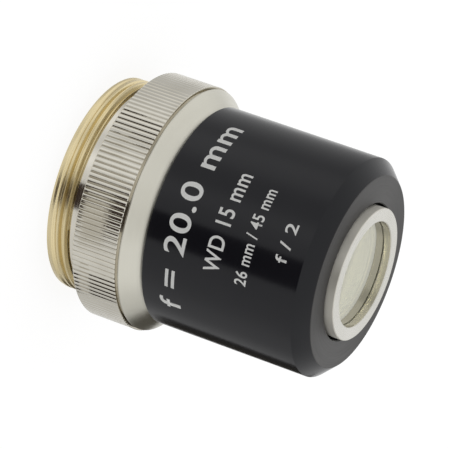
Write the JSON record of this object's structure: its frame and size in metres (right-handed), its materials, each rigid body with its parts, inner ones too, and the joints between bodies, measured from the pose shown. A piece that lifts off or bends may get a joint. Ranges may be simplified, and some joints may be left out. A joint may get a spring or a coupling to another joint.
{
  "type": "microscope objective",
  "caption": "Microscope objective with an externally threaded rear mount, a straight-knurled collar, a tapered band, a black cylindrical sleeve and a recessed front lens in a raised nose ring.",
  "frame": {"origin": "centre of the rear rim of the mounting thread, on the optical axis", "axes": "+Z along the optical axis from the mounting thread towards the front lens; +X and +Y square to it"},
  "size_m": [0.03, 0.03, 0.035],
  "materials": {
    "brass_thread": "bare turned brass, satin",
    "nickel_plate": "nickel plated, turned, bright on the knurl and satin on the taper",
    "black_anodised": "black anodised, fine turned satin",
    "nose_nickel": "nickel plated, fine turned",
    "coated_glass": "polished, anti-reflection coated",
    "inner_glass": "polished",
    "inner_black": "matt black anodised",
    "cell_brass": "blackened brass",
    "bright_steel": "bare steel"
  },
  "bodies": {
    "root": {"mount_thread_ring": "brass_thread", "knurled_collar": "nickel_plate", "outer_sleeve": "black_anodised", "front_lens_cell": "nose_nickel", "front_lens": "coated_glass", "front_lens_retainer": "cell_brass", "lens_tube": "inner_black", "second_lens_cell": "cell_brass", "second_lens": "inner_glass", "second_lens_retainer": "cell_brass", "spacer_second_third": "inner_black", "third_lens_cell": "cell_brass", "third_lens": "inner_glass", "third_lens_retainer": "cell_brass", "centering_screws": "bright_steel", "spacer_third_fourth": "inner_black", "fourth_lens_cell": "cell_brass", "fourth_lens": "inner_glass", "fourth_lens_retainer": "cell_brass", "spacer_fourth_rear": "inner_black", "rear_lens_cell": "cell_brass", "rear_lens": "inner_glass", "rear_lens_retainer": "cell_brass", "aperture_stop": "inner_black", "stack_retaining_ring": "cell_brass", "parfocal_shim": "bright_steel", "parfocal_lock_ring": "cell_brass"}
  },
  "joints": []
}
